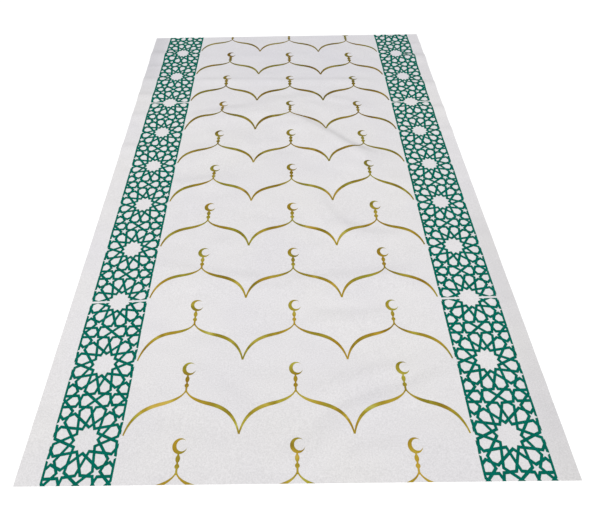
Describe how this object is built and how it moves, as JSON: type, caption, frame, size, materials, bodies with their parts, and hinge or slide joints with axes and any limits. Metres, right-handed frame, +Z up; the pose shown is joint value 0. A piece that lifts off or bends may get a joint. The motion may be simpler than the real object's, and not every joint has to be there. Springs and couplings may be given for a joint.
{
  "type": "prayer rug",
  "caption": "Flat prayer rug of thin white nonwoven cloth, printed with rows of pointed arches between green star-pattern borders, lying with soft creases.",
  "frame": {"origin": "centre of the bounding box's base, on the surface that the rug lies on", "axes": "+Y along the rug, the way its arches point; +X across it; +Z up out of its printed face"},
  "size_m": [0.7, 1.0866, 0.0065],
  "materials": {
    "printed_nonwoven": "matt"
  },
  "bodies": {
    "root": {"rug_sheet": "printed_nonwoven"}
  },
  "joints": []
}
